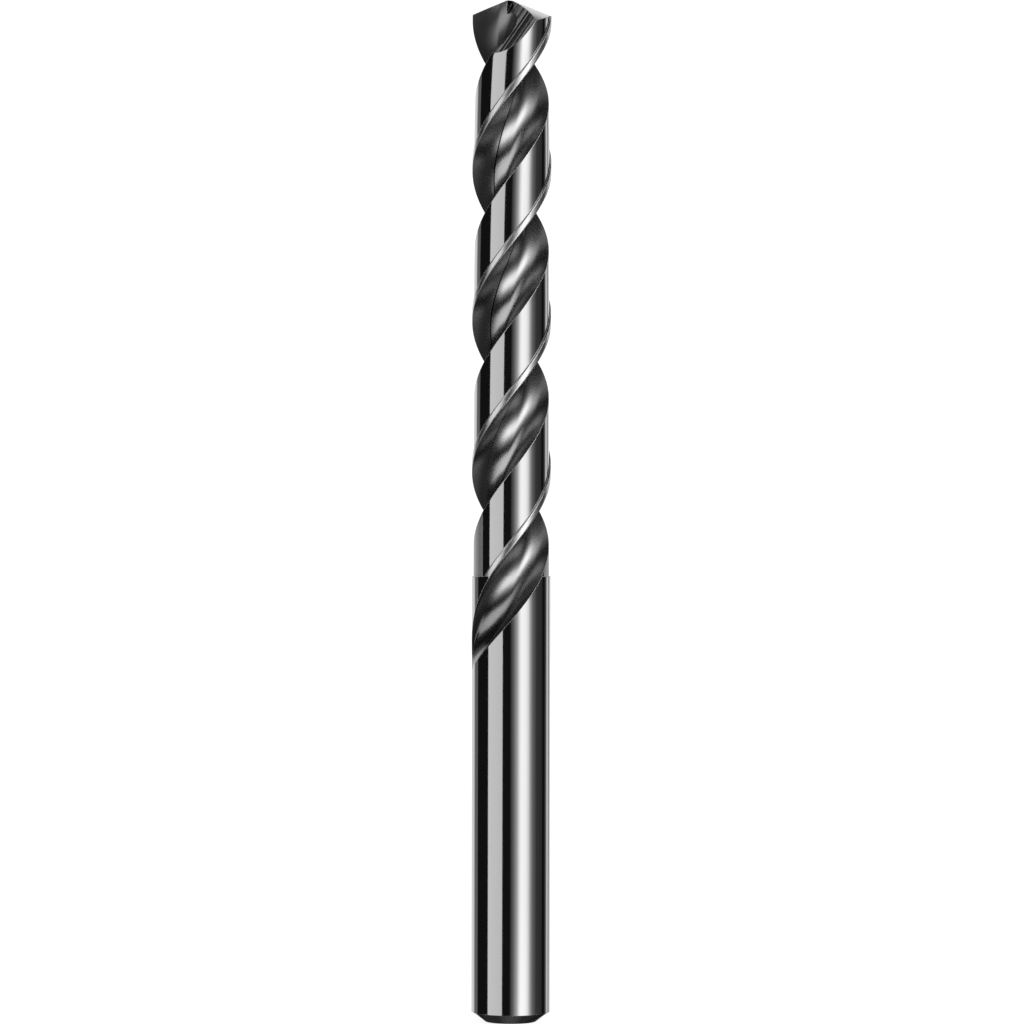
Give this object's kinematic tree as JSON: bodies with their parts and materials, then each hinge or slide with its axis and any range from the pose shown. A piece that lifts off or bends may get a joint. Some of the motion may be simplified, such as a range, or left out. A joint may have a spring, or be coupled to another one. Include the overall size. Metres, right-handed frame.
{
  "type": "twist drill bit",
  "caption": "Jobber-length twist drill with a split point, helical flutes with ground margins, and a plain round shank.",
  "frame": {"origin": "centre of the flat end of the shank, where the axis meets the surface that the drill stands on", "axes": "+Z along the drill's axis towards its point; seen along +Y the two lips lie nearly across the view"},
  "size_m": [0.0102, 0.0102, 0.1328],
  "materials": {
    "ground_steel": "bright ground tool steel: polished lands, margins and shank, darker satin flutes"
  },
  "bodies": {
    "root": {"drill_bit": "ground_steel"}
  },
  "joints": []
}
